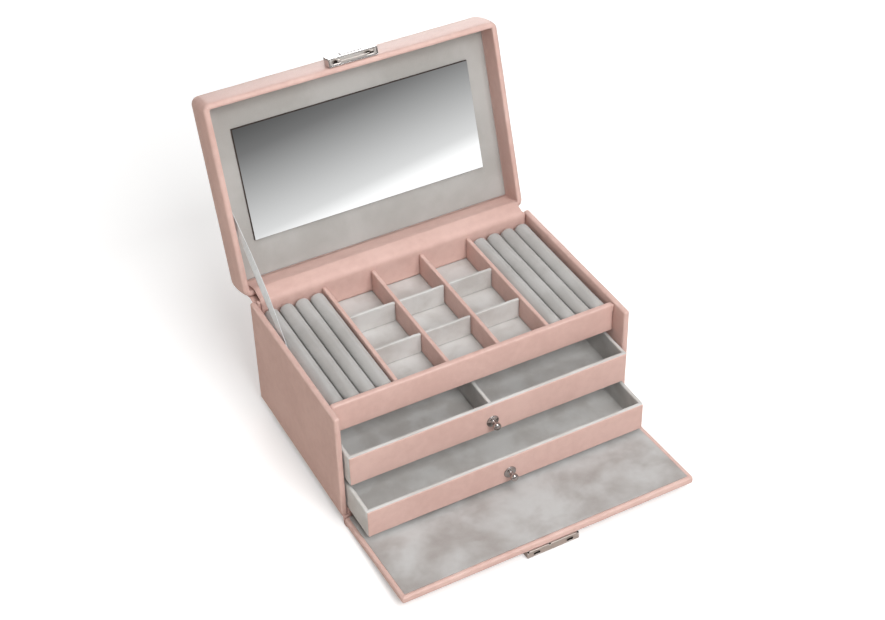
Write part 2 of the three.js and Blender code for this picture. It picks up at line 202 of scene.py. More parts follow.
def leather(name, light, dark, worn_highlit, roughness=0.4, relief=0.00022):
    """Grained faux leather between two shades, paler at its edges, partly as wear and partly as a painted
    highlight.
    """
    made, tree, skin = blank_material(name)
    grain = use_group(tree, GRAIN)
    wear_highlight_node = use_group(tree, WEAR_HIGHLIGHT_GROUP)
    edge = add_node(tree, "ShaderNodeAttribute", attribute_name="edge")
    tree.links.new(edge.outputs["Fac"], wear_highlight_node.inputs["Edge"])
    shade = mix_colours(tree, smooth_step(tree, grain.outputs["Tone"], 0.34, 0.66), dark, light)
    shade = mix_colours(tree, combine(tree, "MULTIPLY", grain.outputs["Crease"], 0.22), shade, dark)
    # Painted highlight: the pale colour on the edges stands partly for wear and partly for light caught
    # on the rounded edges.
    shade = mix_colours(tree, combine(tree, "MULTIPLY", wear_highlight_node.outputs["Mask"], 0.45), shade, worn_highlit)
    tree.links.new(shade, skin.inputs["Base Color"])
    spread = combine(tree, "MULTIPLY_ADD", grain.outputs["Tone"], 0.16, roughness - 0.08)
    tree.links.new(spread, skin.inputs["Roughness"])
    set_inputs(skin, {"Specular IOR Level": 0.28, "Sheen Weight": 0.02, "Coat Weight": 0.08,
                      "Coat Roughness": 0.25})
    bump = add_node(tree, "ShaderNodeBump", {"Strength": 0.8, "Distance": relief})
    tree.links.new(grain.outputs["Height"], bump.inputs["Height"])
    tree.links.new(bump.outputs["Normal"], skin.inputs["Normal"])
    return made


# The third colour is the pale edge colour: partly wear, partly a painted highlight.
PINK = leather("Pink leather", srgb(226, 191, 181), srgb(215, 178, 168), srgb(238, 214, 206))


def make_piece(name, points, faces, material, edge=None):
    """A smooth-shaded mesh object in the row's frame, with its edge measure."""
    mesh = bpy.data.meshes.new(name)
    mesh.from_pydata([tuple(p) for p in points], [], [tuple(f) for f in faces])
    mesh.update()
    for face in mesh.polygons:
        face.use_smooth = True
    if edge is not None:
        measure = mesh.attributes.new("edge", "FLOAT", "POINT")
        measure.data.foreach_set("value", np.array(edge, np.float32))
    mesh.materials.append(material)
    made = bpy.data.objects.new(name, mesh)
    bpy.context.scene.collection.objects.link(made)
    return made


def drift_at(spot, wave, ripple):
    """How a hand-glued skin drifts at a spot: a long wave and a weaker, shorter ripple."""
    return noise.noise(spot * wave) + 0.5 * noise.noise(spot * ripple)


def board_stops(low, high, edge, step):
    """Grid lines along one side of a board: three steps round each edge, even ones between."""
    turn = [edge * (1 - math.tan(math.radians(a))) for a in (45, 30, 15)]
    count = max(1, round((high - low - 2 * edge) / step))
    middle = np.linspace(low + edge, high - edge, count + 1)
    return np.array([low + t for t in turn] + list(middle) + [high - t for t in reversed(turn)])


def wrapped_board(name, low, high, material, edge, step=0.005, swell=0.0, wander=0.0, shape=None):
    """A board with rounded edges. swell pads its faces, wander lets them drift, and shape
    moves each finished point."""
    edge = min([edge] + [0.499 * (b - a) for a, b in zip(low, high)])
    stops = [board_stops(a, b, edge, step) for a, b in zip(low, high)]
    index, points, faces = {}, [], []

    def corner(key):
        if key not in index:
            index[key] = len(points)
            points.append([stops[a][key[a]] for a in range(3)])
        return index[key]

    for axis in range(3):
        u, v = (axis + 1) % 3, (axis + 2) % 3
        for end in (0, len(stops[axis]) - 1):
            for i in range(len(stops[u]) - 1):
                for j in range(len(stops[v]) - 1):
                    ring = []
                    for du, dv in ((0, 0), (1, 0), (1, 1), (0, 1)):
                        key = [0, 0, 0]
                        key[axis], key[u], key[v] = end, i + du, j + dv
                        ring.append(corner(tuple(key)))
                    faces.append(ring if end else ring[::-1])
    p = np.array(points)
    inner_low, inner_high = np.array(low) + edge, np.array(high) - edge
    core = np.clip(p, inner_low, inner_high)
    out = p - core
    out /= np.linalg.norm(out, axis=1)[:, None]
    span = np.maximum(inner_high - inner_low, 1e-6)
    part = 1 - np.abs(2 * (core - inner_low) / span - 1) ** 6
    face_axis = np.abs(out).argmax(axis=1)
    weight = np.prod(np.where(np.arange(3)[None, :] == face_axis[:, None], 1.0, part), axis=1)
    drift = np.array([drift_at(Vector(q), 38.0, 95.0) for q in p])
    p = core + out * (edge + swell * weight + wander * drift)[:, None]
    if shape:
        p = np.array([shape(q) for q in p])
    sharp = np.clip((1 - np.abs(out).max(axis=1)) / 0.29, 0, 1)
    return make_piece(name, p, faces, material, sharp)


def settle(piece, body, slot, *nodes):
    """Names the body that a piece rides on and the CAD nodes it stands for. Its slot is not used."""
    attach(piece, body)
    if nodes:
        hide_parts(*nodes)


def cover(node, material, body, slot, edge, **how):
    """A wrapped board in place of one CAD board."""
    low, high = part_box(node)
    settle(wrapped_board(node + "_cover", low, high, material, edge, **how), body, slot, node)


cover("base_board", PINK, "case", "pink_leather", 1.2 * MM, wander=0.08 * MM)
for node in ("left_side_panel", "right_side_panel"):
    cover(node, PINK, "case", "pink_leather", 1.9 * MM, swell=0.35 * MM, wander=0.14 * MM)
cover("back_panel", PINK, "case", "pink_leather", 1.5 * MM, swell=0.1 * MM, wander=0.1 * MM)
cover("front_rail", PINK, "case", "pink_leather", 1.7 * MM, swell=0.2 * MM, wander=0.12 * MM)
rail_low, rail_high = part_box("front_rail")
tab_width = 2.4 * MM
for side, x in (("left", rail_low.x), ("right", rail_high.x - tab_width)):
    tab = wrapped_board(f"rail_{side}_tab", (x, rail_low.y - 0.25 * MM, rail_high.z - 7 * MM),
                        (x + tab_width, rail_low.y + 1 * MM, rail_high.z - 0.2 * MM),
                        PINK, 0.5 * MM, step=1.5 * MM, wander=0.1 * MM)
    settle(tab, "case", "pink_leather")

# ---------------------------------------------------------------------------------------------
# Feet: four small studs of plated steel, turned with a rounded lower edge. Each is screwed up
# into the base board near a corner.
# ---------------------------------------------------------------------------------------------


def plated(name, tint, roughness):
    """Polished plating with faint wipe marks."""
    made, tree, metal = blank_material(name)
    metal.inputs["Metallic"].default_value = 1.0
    wear_highlight_node = use_group(tree, WEAR_HIGHLIGHT_GROUP)
    wear_highlight_node.inputs["Edge"].default_value = 1.0
    dulled = tuple(0.93 * c for c in tint[:3]) + (1,)
    shade = mix_colours(tree, wear_highlight_node.outputs["Mask"], tint, dulled)
    tree.links.new(shade, metal.inputs["Base Color"])
    spread = combine(tree, "MULTIPLY_ADD", wear_highlight_node.outputs["Mask"], 0.08, roughness)
    tree.links.new(spread, metal.inputs["Roughness"])
    return made


CHROME = plated("Chrome", srgb(226, 224, 223), 0.09)


def ring_faces(rings, n):
    """The side faces between rings of n points each."""
    return [(k * n + i, k * n + (i + 1) % n, (k + 1) * n + (i + 1) % n, (k + 1) * n + i)
            for k in range(rings - 1) for i in range(n)]


def ring_caps(rings, n):
    """One face to close each end of the rings."""
    return [range(n - 1, -1, -1), range((rings - 1) * n, rings * n)]


def turned(name, profile, place, axis, material, sides=40):
    """A lathe-turned piece: profile is (radius, height) pairs along the axis from place."""
    points = []
    turn = Vector((0, 0, 1)).rotation_difference(Vector(axis))
    for r, h in profile:
        for i in range(sides):
            a = 2 * math.pi * i / sides
            points.append(Vector(place) + turn @ Vector((r * math.cos(a), r * math.sin(a), h)))
    faces = ring_faces(len(profile), sides) + ring_caps(len(profile), sides)
    return make_piece(name, points, faces, material)


for node in ("foot_front_left", "foot_front_right", "foot_back_left", "foot_back_right"):
    low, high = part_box(node)
    r, h = (high.x - low.x) / 2, high.z - low.z
    outline = [(0.55 * r, 0), (0.8 * r, 0.0003), (0.97 * r, 0.0012), (r, 0.0025), (r, 0.6 * h),
               (0.94 * r, 0.82 * h), (0.88 * r, h)]
    under = ((low.x + high.x) / 2, (low.y + high.y) / 2, low.z)
    foot = turned(node + "_stud", outline, under, (0, 0, 1), CHROME)
    settle(foot, "case", "chrome", node)

# ---------------------------------------------------------------------------------------------
# Shelf, tray floor and cross dividers: board wrapped in grey velour, a short pile that lies
# in brushed patches. Its edges are painted paler as a sheen highlight.
# ---------------------------------------------------------------------------------------------


def velour_nap():
    """Short pile: brushed patches, cloudy variation inside them and single-tuft speckle."""
    sockets = {"Position": ("NodeSocketVector", None), "Patches per metre": ("NodeSocketFloat", 30)}
    results = {"Height": "NodeSocketFloat", "Patch": "NodeSocketFloat", "Speckle": "NodeSocketFloat"}
    tree, given, out = new_group("Velour nap", sockets, results)
    place = given.outputs["Position"]
    patch = add_node(tree, "ShaderNodeTexNoise", {"Detail": 3.5, "Roughness": 0.5, "Distortion": 0.25})
    tree.links.new(place, patch.inputs["Vector"])
    tree.links.new(given.outputs["Patches per metre"], patch.inputs["Scale"])
    brushed = smooth_step(tree, patch.outputs["Fac"], 0.34, 0.66)
    cloud = noise_at(tree, place, 210.0, detail=3.0)
    mottle = combine(tree, "ADD", combine(tree, "MULTIPLY", brushed, 0.78),
                     combine(tree, "MULTIPLY", cloud, 0.22))
    tufts = noise_at(tree, place, 2600.0, detail=2.0, rough=0.7)
    tree.links.new(mottle, out.inputs["Patch"])
    tree.links.new(tufts, out.inputs["Speckle"])
    height = combine(tree, "ADD", tufts, combine(tree, "MULTIPLY", cloud, 1.5))
    tree.links.new(height, out.inputs["Height"])
    return tree


NAP = velour_nap()


def velour(name, light, dark, pale, patches=30.0):
    """Velour between two shades of brushed pile, with pale tufts, and painted pale along its edges as
    sheen.
    """
    made, tree, cloth = blank_material(name)
    nap = use_group(tree, NAP)
    nap.inputs["Patches per metre"].default_value = patches
    edge = add_node(tree, "ShaderNodeAttribute", attribute_name="edge")
    shade = mix_colours(tree, nap.outputs["Patch"], dark, light)
    speck = smooth_step(tree, nap.outputs["Speckle"], 0.3, 0.75)
    shade = mix_colours(tree, combine(tree, "MULTIPLY", speck, 0.18), shade, pale)
    # Painted sheen: the edges are mixed towards the pale colour, standing in for the light the pile
    # catches there.
    shade = mix_colours(tree, combine(tree, "MULTIPLY", edge.outputs["Fac"], 0.3), shade, pale)
    tree.links.new(shade, cloth.inputs["Base Color"])
    set_inputs(cloth, {"Roughness": 0.95, "Specular IOR Level": 0.15, "Sheen Weight": 0.3,
                       "Sheen Roughness": 0.5})
    bump = add_node(tree, "ShaderNodeBump", {"Strength": 0.7, "Distance": 0.0002})
    tree.links.new(nap.outputs["Height"], bump.inputs["Height"])
    tree.links.new(bump.outputs["Normal"], cloth.inputs["Normal"])
    return made


# Painted light: the same grey velour as the rolls and lid lining, made lighter here to stand in for the
# light that reaches into the tray cells and drawers.
CAVITY_LIT_VELOUR = velour("Grey velour lightened for cavity light", srgb(207, 206, 204), srgb(183, 179, 175), srgb(212, 211, 209), 42.0)
cover("drawer_shelf", CAVITY_LIT_VELOUR, "case", "grey_velour", 1.0 * MM, wander=0.05 * MM)
cover("tray_floor", CAVITY_LIT_VELOUR, "case", "grey_velour", 0.8 * MM, wander=0.05 * MM)

# ---------------------------------------------------------------------------------------------
# Tray grid: four leather-wrapped dividers run front to back, and short velour-covered cards
# are slotted between them. Each card bows a little.
# ---------------------------------------------------------------------------------------------


def bowed(low, high, amount, axis, along):
    """A shape that bends a thin card: amount at the middle of its length, nothing at its ends."""
    def shape(q):
        share = (q[along] - low[along]) / (high[along] - low[along])
        q[axis] += amount * math.sin(math.pi * share)
        return q

    return shape


for i in range(1, 5):
    node = f"divider_{i}"
    low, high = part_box(node)
    bend = bowed(low, high, (0.25, -0.2, 0.3, -0.15)[i - 1] * MM, 0, 1)
    cover(node, PINK, "case", "pink_leather", 1.15 * MM, wander=0.1 * MM, shape=bend)
for i in range(1, 7):
    node = f"cross_divider_{i}"
    low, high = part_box(node)
    bend = bowed(low, high, (0.3, -0.25, 0.2, 0.35, -0.3, 0.25)[i - 1] * MM, 1, 0)
    cover(node, CAVITY_LIT_VELOUR, "case", "grey_velour", 0.9 * MM, step=3 * MM, wander=0.12 * MM, shape=bend)

# ---------------------------------------------------------------------------------------------
# Ring rolls: foam bars wrapped in velour and glued side by side into the tray. The tops are
# half-round and stand free, the lower halves are held by their neighbours.
# ---------------------------------------------------------------------------------------------


roll_growth = 0.35 * MM


def roll_mesh(name, low, high, material):
    """One roll before it is stuffed: straight bar, half-round top, domed back end. It starts
    a little small, and the stuffing brings it to size."""
    high = high - Vector((0, 0, roll_growth))
    r = (high.x - low.x) / 2 - roll_growth
    middle = (low.x + high.x) / 2
    arc = [(-math.cos(a) * r, high.z - r + math.sin(a) * r) for a in np.linspace(0, math.pi, 13)]
    rise = np.linspace(low.z, high.z - r, 8)[:-1]
    section = [(-r, z) for z in rise] + arc + [(r, z) for z in rise[::-1]]
    length = high.y - low.y
    steps = [0.0, 0.0004, 0.0012, 0.0024] + list(np.linspace(0.004, length - r, 44))
    steps += [length - r * (1 - math.sin(a)) for a in np.linspace(0.2, math.pi / 2, 8)]
    points, faces = [], []
    for s in steps:
        front = min(1.0, 0.86 + 0.14 * math.sin(min(s / 0.0024, 1) * math.pi / 2))
        t = max(0.0, s - (length - r)) / r
        dome = math.sqrt(max(0.0, 1 - t * t)) * 0.72 + 0.28
        full = min(front, dome)
        for x, z in section:
            top = (z - low.z) / (high.z - low.z)
            points.append((middle + x * full, low.y + s, low.z + (z - low.z) * (1 - (1 - full) * top)))
    n = len(section)
    for k in range(len(steps) - 1):
        for i in range(n):
            j = (i + 1) % n
            faces.append((k * n + i, (k + 1) * n + i, (k + 1) * n + j, k * n + j))
    faces.append(range(n))
    faces.append(range(len(points) - 1, len(points) - n - 1, -1))
    return make_piece(name, points, faces, material)


def stuffed(piece, hold_below, limit):
    """The piece blown up like a filled cover: pressure pushes its free skin out, the part below
    hold_below stays glued down, and nothing moves farther than limit."""
    glued_to_free, last_step = 1.5 * MM, 20
    rest = [v.co.copy() for v in piece.data.vertices]
    held = piece.vertex_groups.new(name="glued")
    for i, co in enumerate(rest):
        held.add([i], min(1.0, max(0.0, (hold_below - co.z) / glued_to_free)), "REPLACE")
    cloth = piece.modifiers.new("cover", "CLOTH")
    cloth.settings.quality = 4
    cloth.settings.mass = 0.05
    cloth.settings.vertex_group_mass = "glued"
    cloth.settings.effector_weights.gravity = 0
    cloth.settings.use_pressure = True
    cloth.settings.uniform_pressure_force = 12
    cloth.settings.bending_stiffness = 0.2
    for step in range(1, last_step + 1):
        bpy.context.scene.frame_set(step)
    graph = bpy.context.evaluated_depsgraph_get()
    filled = [v.co.copy() for v in piece.evaluated_get(graph).data.vertices]
    piece.modifiers.clear()
    bpy.context.scene.frame_set(1)
    for vertex, start, end in zip(piece.data.vertices, rest, filled):
        way = end - start
        vertex.co = start + way * min(1.0, limit / max(way.length, 1e-9))
    smooth = piece.modifiers.new("smooth", "SUBSURF")
    smooth.levels = smooth.render_levels = 1


# Painted shade: the rolls' velour is made darker than the tray's, standing in for the shade on their
# sides and in the grooves between them.
SHADED_ROLL_VELOUR = velour("Roll velour darkened for shade", srgb(184, 182, 180), srgb(168, 165, 162), srgb(198, 197, 195), 26.0)
for side in ("left", "right"):
    for i in range(1, 5):
        node = f"ring_roll_{side}_{i}"
        low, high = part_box(node)
        roll = roll_mesh(node + "_foam", low, high, SHADED_ROLL_VELOUR)
        settle(roll, "case", "grey_velour", node)
        stuffed(roll, high.z - 0.8 * (high.x - low.x) / 2, 0.42 * MM)

# ---------------------------------------------------------------------------------------------
# Lid: a shallow tray of boards wrapped in one piece of padded leather. The leather turns over
# the rim and down the inside, and is mitred at the rim's corners.
# ---------------------------------------------------------------------------------------------
lid_joint = next(j for j in frame["joints"] if j["name"] == "lid_hinge")
lid_turn = math.radians(lid_joint["range_deg"][1])
lid_frame = Matrix.Translation(lid_joint["pos_m"]) @ Matrix.Rotation(-lid_turn, 4, "X")


def box_in(node, matrix):
    """A CAD node's lowest and highest corner in a turned frame."""
    back = matrix.inverted()
    corners = np.array([back @ v.co for v in frame["nodes"][node].data.vertices])
    return Vector(corners.min(0)), Vector(corners.max(0))


def arc_points(centre, radius, start, end, count):
    """Points on an arc in a profile, angles in degrees."""
    turn = np.radians(np.linspace(start, end, count))
    return [(centre[0] + radius * math.cos(a), centre[1] + radius * math.sin(a)) for a in turn]


def rim_loop(low, high, inset, radius, parts):
    """A rounded rectangle, inset from low and high, its long and short sides cut into parts.
    Gives points, and each one's turn away from its corner's mitre, where 1 is 45 degrees."""
    radius = max(radius - inset, 0.0003)
    angles = [0, 10, 20, 30, 38, 42, 44, 45, 46, 48, 52, 60, 70, 80, 90]
    loop, mitre = [], []
    x0, x1 = low[0] + inset + radius, high[0] - inset - radius
    y0, y1 = low[1] + inset + radius, high[1] - inset - radius
    centres = [(x1, y1), (x0, y1), (x0, y0), (x1, y0)]
    for k, (cx, cy) in enumerate(centres):
        for a in angles:
            t = math.radians(a + 90 * k)
            loop.append((cx + radius * math.cos(t), cy + radius * math.sin(t)))
            mitre.append(abs(a - 45) / 45)
        nx, ny = centres[(k + 1) % 4]
        t = math.radians(90 * (k + 1))
        start = (cx + radius * math.cos(t), cy + radius * math.sin(t))
        end = (nx + radius * math.cos(t), ny + radius * math.sin(t))
        count = parts[k % 2]
        for i in range(1, count):
            loop.append(tuple(a + (b - a) * i / count for a, b in zip(start, end)))
            mitre.append(1.0)
    return loop, mitre


def swept_tray(name, low, high, profile, radius, material, matrix, parts, groove=None, wander=0.0):
    """A profile of (inset, height) run round a rounded rectangle, its two ends capped. Its
    points climb the outer wall. groove(k) is the mitre seam's depth at profile point k."""
    rings, mitres = [], None
    for inset, height in profile:
        loop, mitres = rim_loop(low, high, inset, radius, parts)
        rings.append([Vector((x, y, height)) for x, y in loop])
    n = len(rings[0])
    normals = []
    for k in range(len(rings)):
        before, after = profile[max(k - 1, 0)], profile[min(k + 1, len(profile) - 1)]
        du, dh = after[0] - before[0], after[1] - before[1]
        size = math.hypot(du, dh) or 1.0
        normals.append((dh / size, -du / size))
    points, edge = [], []
    for k, ring in enumerate(rings):
        inward, up = normals[k]
        for i, p in enumerate(ring):
            a, b = ring[i - 1], ring[(i + 1) % n]
            side = Vector((b.y - a.y, a.x - b.x, 0))
            side.normalize()
            outward = side * -inward + Vector((0, 0, up))
            cut = groove(k) * max(0.0, 1 - mitres[i] / 0.06) if groove else 0.0
            points.append(matrix @ (p + outward * (wander * drift_at(p, 42.0, 110.0) - cut)))
            bend = 0.0
            if 0 < k < len(rings) - 1:
                bend = min(1.0, (Vector(normals[k - 1]) - Vector(normals[k + 1])).length * 1.4)
            edge.append(bend)
    faces = ring_faces(len(rings), n) + ring_caps(len(rings), n)
    return make_piece(name, points, faces, material, edge)


wall_low, wall_high = box_in("lid_back_wall", lid_frame)
front_low, front_high = box_in("lid_front_wall", lid_frame)
lining_low, lining_high = box_in("lid_lining", lid_frame)
wall = front_high.y - front_low.y
lid_low, lid_high = (wall_low.x, front_low.y), (wall_high.x, wall_high.y)
mouth, crown = wall_low.z, box_in("lid_top_board", lid_frame)[1].z
rim_out, rim_in, shoulder, padding = 3.0 * MM, 1.3 * MM, 4.5 * MM, 0.9 * MM
half_depth = (lid_high[1] - lid_low[1]) / 2
profile = [(half_depth - 1 * MM, lining_low.z + 2.5 * MM), (wall + 2 * MM, lining_low.z + 2.5 * MM)]
profile += [(wall, lining_low.z + 2 * MM), (wall, lining_low.z - 2 * MM)]
profile += [(wall, z) for z in np.linspace(lining_low.z - 5 * MM, mouth + 3 * MM, 4)]
profile += arc_points((wall - rim_in, mouth + rim_in), rim_in, 0, -90, 6)
profile += [(0.5 * (wall - rim_in + rim_out), mouth - 0.08 * MM)]
profile += arc_points((rim_out, mouth + rim_out), rim_out, -90, -180, 8)
wall_rise = crown - shoulder - mouth - rim_out
profile += [(-padding * math.sin(math.pi * t) ** 0.7, mouth + rim_out + t * wall_rise)
            for t in np.linspace(0.1, 0.9, 9)]
profile += arc_points((shoulder, crown - shoulder), shoulder, 180, 90, 8)
for inset in np.linspace(shoulder, half_depth - 1 * MM, 16)[1:]:
    share = (inset - shoulder) / (half_depth - shoulder)
    profile.append((inset, crown - padding * (1 - share) ** 3 + 0.4 * MM))
rim_top = mouth + 1.2 * MM
lid_shell = swept_tray("lid_shell", lid_low, lid_high, profile, 6.5 * MM, PINK, lid_frame, (50, 32),
                       lambda k: 0.5 * MM if profile[k][1] < rim_top else 0.0, 0.14 * MM)
settle(lid_shell, "lid", "pink_leather",
       "lid_top_board", "lid_front_wall", "lid_back_wall", "lid_left_wall", "lid_right_wall")

# Lid lining: a velour-covered card pressed into the lid.
LINED = velour("Lining velour", srgb(179, 178, 175), srgb(165, 163, 159), srgb(194, 193, 191), 24.0)
lining = wrapped_board("lid_lining_card", lining_low, lining_high, LINED, 1.2 * MM,
                       swell=0.3 * MM, wander=0.1 * MM)
lining.data.transform(lid_frame)
settle(lining, "lid", "grey_velour", "lid_lining")

# ---------------------------------------------------------------------------------------------
# Mirror: a pane of silvered glass, its edge ground to a narrow dull bevel. It is glued to the
# lid's lining and has a faint film of dust. Its bevel and sides are painted dark, partly as the
# ground edge and partly as painted shade.
# ---------------------------------------------------------------------------------------------
SILVER, tree, glass = blank_material("Silvered glass")
set_inputs(glass, {"Base Color": srgb(247, 248, 248), "Metallic": 1.0})
spot = add_node(tree, "ShaderNodeTexCoord").outputs["Object"]
dust = smooth_step(tree, noise_at(tree, spot, 900.0, detail=4.0), 0.55, 0.8)
film = combine(tree, "MULTIPLY_ADD", dust, 0.03, 0.012)
tree.links.new(film, glass.inputs["Roughness"])
mirror_low, mirror_high = box_in("mirror", lid_frame)
bevel = 0.6 * MM
thick = mirror_high.z - mirror_low.z
outline = [(40 * MM, mirror_low.z), (bevel, mirror_low.z), (0.15 * MM, mirror_low.z + 0.45 * thick),
           (0, mirror_low.z + 0.6 * thick), (0, mirror_high.z - 0.3 * MM), (0.3 * MM, mirror_high.z)]
mirror = swept_tray("mirror_glass", mirror_low, mirror_high, outline, 0.9 * MM, SILVER, lid_frame,
                    (4, 3))
# Painted shade: the bevel and sides take a dark plating, partly the ground edge and partly the shade
# along the glass edge.
mirror.data.materials.append(plated("Ground glass edge, darkened as shade", srgb(98, 90, 86), 0.35))
for face in mirror.data.polygons:
    face.use_smooth = False
    if abs((lid_frame.inverted() @ face.center).z - mirror_low.z) > 0.02 * MM:
        face.material_index = 1
settle(mirror, "lid", "mirror_glass", "mirror")

# ---------------------------------------------------------------------------------------------
# Hinge strips: soft leather glued to the case and to the lid, inside and out, with a free
# fold between them. They are the lid's only hinge.
# ---------------------------------------------------------------------------------------------


def smooth_path(controls, gap):
    """Evenly spaced points on a smooth curve through the control points."""
    controls = [Vector(c) for c in controls]
    ends = [2 * controls[0] - controls[1]] + controls + [2 * controls[-1] - controls[-2]]
    dense = []
    for i in range(1, len(ends) - 2):
        a, b, c, d = ends[i - 1:i + 3]
        for t in np.linspace(0, 1, 24, endpoint=False):
            dense.append(0.5 * (2 * b + (c - a) * t + (2 * a - 5 * b + 4 * c - d) * t * t
                                + (3 * b - a - 3 * c + d) * t ** 3))
    dense.append(ends[-2])
    walked = np.concatenate([[0], np.cumsum([(q - p).length for p, q in zip(dense, dense[1:])])])
    wanted = np.linspace(0, walked[-1], max(3, round(walked[-1] / gap)))
    return [Vector([np.interp(w, walked, [p[a] for p in dense]) for a in range(len(dense[0]))])
            for w in wanted]


def soft_strip(name, controls, low_x, high_x, thick, material, wander=0.1 * MM, gap=1.4 * MM):
    """A leather strip across the chest that follows a path of (y, z) points, with rolled ends."""
    path = smooth_path(controls, gap)
    tip = len(path) - 1
    along = [(path[min(i + 1, tip)] - path[max(i - 1, 0)]).normalized() for i in range(len(path))]
    roll = [(0, 0.3), (0.15, 0.72), (0.5, 1.0)]
    columns = [(low_x + t * thick, s) for t, s in roll]
    columns += [(x, 1.0) for x in np.linspace(low_x, high_x, round((high_x - low_x) / 0.004))[1:-1]]
    columns += [(high_x - t * thick, s) for t, s in reversed(roll)]
    points, edge = [], []
    for x, share in columns:
        for face in (1, -1):
            order = range(len(path)) if face == 1 else range(tip, -1, -1)
            for i in order:
                y, z = path[i]
                across = Vector((along[i].y * -1, along[i].x))
                drift = wander * drift_at(Vector((x, y, z)), 45.0, 120.0)
                off = across * (face * share * thick / 2 + drift)
                points.append((x, y + off.x, z + off.y))
                edge.append(1.0 - share)
    n = 2 * len(path)
    faces = ring_faces(len(columns), n)
    last = (len(columns) - 1) * n
    for i in range(tip):
        faces.append((i + 1, i, n - 1 - i, n - 2 - i))
        faces.append((last + i, last + i + 1, last + n - 2 - i, last + n - 1 - i))
    return make_piece(name, points, faces, material, edge)


def bend_between(piece, node):
    """A soft piece between the case and a body, in place of one CAD strip: its place is baked into its
    mesh.
    """
    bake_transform(piece)
    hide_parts(node)


def in_lid(a, h):
    """(y, z) of a point a in front of the open lid's back and h above its mouth."""
    p = lid_frame @ Vector((0, lid_high[1] - a, mouth + h))
    return p.y, p.z


panel_low, panel_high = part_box("back_panel")
floor_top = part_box("tray_floor")[1].z
strip_low, strip_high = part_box("inner_hinge_strip")
face_y = panel_low.y - 0.8 * MM
top_z = panel_high.z
lid_face = wall + 0.8 * MM
depth = lining_low.z - mouth
inner_path = [(face_y, floor_top + 0.4 * MM), (face_y, floor_top + 12 * MM), (face_y, top_z - 3 * MM),
              (face_y + 0.9 * MM, top_z + 0.5 * MM), (face_y + 3.6 * MM, top_z + 2.3 * MM),
              (face_y + 9 * MM, top_z + 3.6 * MM), in_lid(lid_face + 0.6 * MM, -0.6 * MM),
              in_lid(lid_face + 0.3 * MM, 3.5 * MM), in_lid(lid_face, 11 * MM),
              in_lid(lid_face, depth - 0.9 * MM)]
inner_strip = soft_strip("inner_hinge_leather", inner_path, strip_low.x, strip_high.x, 1.0 * MM, PINK)
bend_between(inner_strip, "inner_hinge_strip")

strip_low, strip_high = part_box("back_hinge_strip")
out_y = panel_high.y + 0.6 * MM
lid_start = in_lid(-0.8 * MM, 1.2 * MM)
outer_path = [(out_y, strip_low.z), (out_y, top_z - 8 * MM), (out_y + 0.2 * MM, top_z - 5.5 * MM),
              (out_y + 2.2 * MM, top_z - 4.6 * MM), lid_start, in_lid(-0.8 * MM, 4 * MM),
              in_lid(-0.7 * MM, 10 * MM)]
back_strip = soft_strip("back_hinge_leather", outer_path, strip_low.x, strip_high.x, 0.8 * MM, PINK)
bend_between(back_strip, "back_hinge_strip")

# ---------------------------------------------------------------------------------------------
# Ribbon stay: satin ribbon glued inside the lid's left wall and inside the case's left side.
# It holds the lid open, nearly taut, with a part turn in its length.
# ---------------------------------------------------------------------------------------------


def ribbon_weave():
    """Fine cross ribs of a woven satin ribbon."""
    tree, given, out = new_group("Ribbon weave", {"Position": ("NodeSocketVector", None)},
                                 {"Height": "NodeSocketFloat", "Thread": "NodeSocketFloat"})
    ribs = add_node(tree, "ShaderNodeTexWave", {"Scale": 900.0, "Distortion": 0.6, "Detail": 1.0})
    tree.links.new(given.outputs["Position"], ribs.inputs["Vector"])
    tree.links.new(ribs.outputs["Fac"], out.inputs["Height"])
    tree.links.new(noise_at(tree, given.outputs["Position"], 300.0, detail=3.0), out.inputs["Thread"])
    return tree


SATIN, tree, satin = blank_material("Satin ribbon")
weave = use_group(tree, ribbon_weave())
threads = mix_colours(tree, weave.outputs["Thread"], srgb(196, 198, 199), srgb(222, 224, 226))
tree.links.new(threads, satin.inputs["Base Color"])
set_inputs(satin, {"Roughness": 0.38, "Sheen Weight": 0.2})
ribs = add_node(tree, "ShaderNodeBump", {"Strength": 0.5, "Distance": 0.0001})
tree.links.new(weave.outputs["Height"], ribs.inputs["Height"])
tree.links.new(ribs.outputs["Normal"], satin.inputs["Normal"])


def twisted_ribbon(name, start, end, width, thick, twist, material):
    """A flat ribbon from start to end that turns by twist in the middle and back again."""
    start, end = Vector(start), Vector(end)
    along = (end - start).normalized()
    points = []
    count, across = 90, 8
    for k in range(count + 1):
        t = k / count
        slack = math.sin(math.pi * t)
        centre = start.lerp(end, t) + Vector((1.2 * MM * slack, 0, -1.5 * MM * slack))
        normal = Quaternion(along, twist * slack ** 1.5) @ Vector((1, 0, 0))
        side = along.cross(normal)
        for face in (1, -1):
            for i in range(across + 1):
                s = (i / across - 0.5) * (1 if face == 1 else -1)
                rim = 1.0 if abs(s) > 0.44 else 0.7
                points.append(centre + side * s * width + normal * (face * thick / 2 * rim))
    n = 2 * (across + 1)
    return make_piece(name, points, ring_faces(count + 1, n) + ring_caps(count + 1, n), material)


ribbon_low, ribbon_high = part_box("ribbon_stay")
ribbon_x = ribbon_high.x
half_width = 3.5 * MM
end_y, end_z = half_width * 0.6, half_width * 0.8
ribbon = twisted_ribbon("ribbon_stay_satin", (ribbon_x, ribbon_low.y + end_y, ribbon_low.z + end_z),
                        (ribbon_x, ribbon_high.y - end_y, ribbon_high.z - end_z),
                        2 * half_width, 0.45 * MM, math.radians(24), SATIN)
bend_between(ribbon, "ribbon_stay")

# ---------------------------------------------------------------------------------------------
# Drawers: card boxes covered in velour inside and out, each with a leather-covered front
# panel and a turned knob. The upper one has a short card across its middle.
# ---------------------------------------------------------------------------------------------


